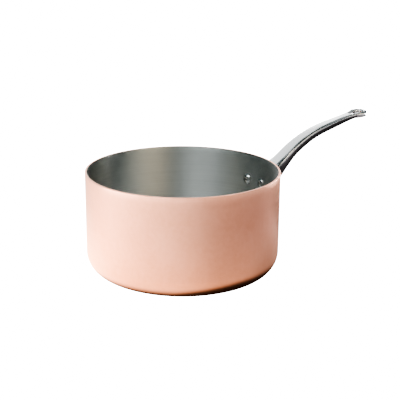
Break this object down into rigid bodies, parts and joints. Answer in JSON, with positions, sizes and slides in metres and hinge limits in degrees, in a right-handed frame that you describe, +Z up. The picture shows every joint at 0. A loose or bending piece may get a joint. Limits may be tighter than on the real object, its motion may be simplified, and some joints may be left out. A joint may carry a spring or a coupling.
{
  "type": "copper saucepan",
  "caption": "Straight-sided copper saucepan with a stainless lining and a long arched stainless handle riveted to its wall, ending in a hanging eye.",
  "frame": {"origin": "centre of the base's flat underside", "axes": "+Z up along the pan's axis, +X along the handle; the pan is symmetric about the XZ plane"},
  "size_m": [0.3749, 0.204, 0.1389],
  "materials": {
    "copper": "satin",
    "lining_steel": "brushed round the pan",
    "cast_steel": "polished",
    "rivet_steel": "polished"
  },
  "bodies": {
    "root": {"copper_body": "copper", "steel_lining": "lining_steel", "handle": "cast_steel", "rivet_upper_left": "rivet_steel", "rivet_upper_right": "rivet_steel", "rivet_lower": "rivet_steel"}
  },
  "joints": []
}
